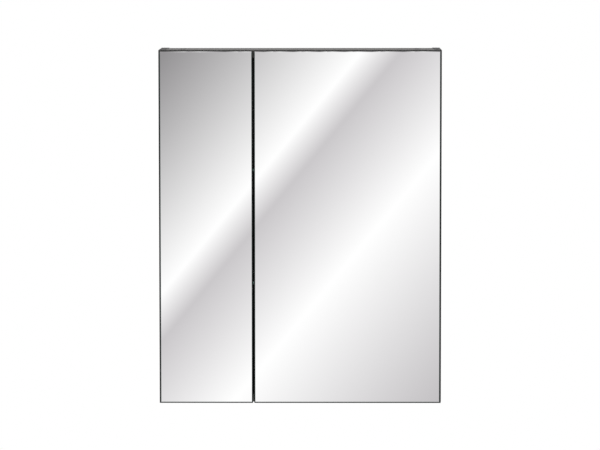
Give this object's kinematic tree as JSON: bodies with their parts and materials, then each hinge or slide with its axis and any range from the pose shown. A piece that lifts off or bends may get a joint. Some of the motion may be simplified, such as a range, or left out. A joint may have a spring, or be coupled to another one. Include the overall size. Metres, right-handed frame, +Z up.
{
  "type": "medicine cabinet with mirror",
  "caption": "Wall-hung bathroom cabinet with a narrow and a wide mirrored door on concealed hinges, glass shelves inside, hung on wall plates.",
  "frame": {"origin": "centre of the four wall screw holes, on the wall's surface", "axes": "+X to the cabinet's right as seen facing it, +Y into the wall, +Z up; the mirrored doors face -Y"},
  "size_m": [0.6, 0.18, 0.75],
  "materials": {
    "graphite_laminate": "graphite-grey melamine laminate on particle board, fine matt texture",
    "graphite_edge": "graphite-grey ABS edge band, satin",
    "dark_hardboard": "lacquered hardboard, graphite",
    "mirror_glass": "silvered float glass with ground edges",
    "shelf_glass": "clear float glass, polished edges",
    "foam_tape": "closed-cell foam tape, black",
    "zinc_plated": "zinc-plated steel",
    "nickel_plated": "nickel-plated steel and die-cast zinc",
    "black_nylon": "moulded nylon, black",
    "beech": "turned beech, fluted",
    "clear_rubber": "clear soft polyurethane"
  },
  "bodies": {
    "carcass": {"side_panel_left": "graphite_laminate", "side_panel_right": "graphite_laminate", "top_panel": "graphite_laminate", "bottom_panel": "graphite_laminate", "back_panel": "dark_hardboard", "side_edge_bands": "graphite_edge", "top_edge_band": "graphite_edge", "bottom_edge_band": "graphite_edge", "back_panel_screws": "zinc_plated", "cam_housings": "black_nylon", "cam_discs": "zinc_plated", "cam_bolts": "zinc_plated", "wood_dowels": "beech", "shelf_lower": "shelf_glass", "shelf_upper": "shelf_glass", "shelf_supports": "nickel_plated", "shelf_pads": "clear_rubber", "hanger_housing_left": "zinc_plated", "hanger_housing_right": "zinc_plated", "hanger_block_left": "zinc_plated", "hanger_block_right": "zinc_plated", "hanger_hook_left": "zinc_plated", "hanger_hook_right": "zinc_plated", "hanger_screws": "nickel_plated", "hanger_hole_caps": "black_nylon", "wall_plate_left": "zinc_plated", "wall_plate_right": "zinc_plated", "hinge_plate_upper_left": "nickel_plated", "hinge_plate_upper_right": "nickel_plated", "hinge_plate_lower_left": "nickel_plated", "hinge_plate_lower_right": "nickel_plated", "hinge_plate_screws": "zinc_plated", "hinge_arm_upper_left": "nickel_plated", "hinge_arm_upper_right": "nickel_plated", "hinge_arm_lower_left": "nickel_plated", "hinge_arm_lower_right": "nickel_plated", "hinge_arm_screws": "zinc_plated"},
    "left_door": {"hinge_cup_upper_left": "nickel_plated", "hinge_cup_lower_left": "nickel_plated", "hinge_pins_left": "zinc_plated", "cup_screws_left": "zinc_plated", "door_board_left": "graphite_laminate", "door_edge_bands_left": "graphite_edge", "mirror_left": "mirror_glass", "mirror_tape_left": "foam_tape", "door_bumpers_left": "clear_rubber"},
    "right_door": {"hinge_cup_upper_right": "nickel_plated", "hinge_cup_lower_right": "nickel_plated", "hinge_pins_right": "zinc_plated", "cup_screws_right": "zinc_plated", "door_board_right": "graphite_laminate", "door_edge_bands_right": "graphite_edge", "mirror_right": "mirror_glass", "mirror_tape_right": "foam_tape", "door_bumpers_right": "clear_rubber"}
  },
  "joints": [
    {"name": "left_door_hinge", "type": "hinge", "parent": "carcass", "child": "left_door", "pos_m": [-0.2915, -0.169, -0.313], "axis": [0, 0, -1], "range_deg": [0, 95]},
    {"name": "right_door_hinge", "type": "hinge", "parent": "carcass", "child": "right_door", "pos_m": [0.2915, -0.169, -0.313], "axis": [0, 0, 1], "range_deg": [0, 95]}
  ]
}
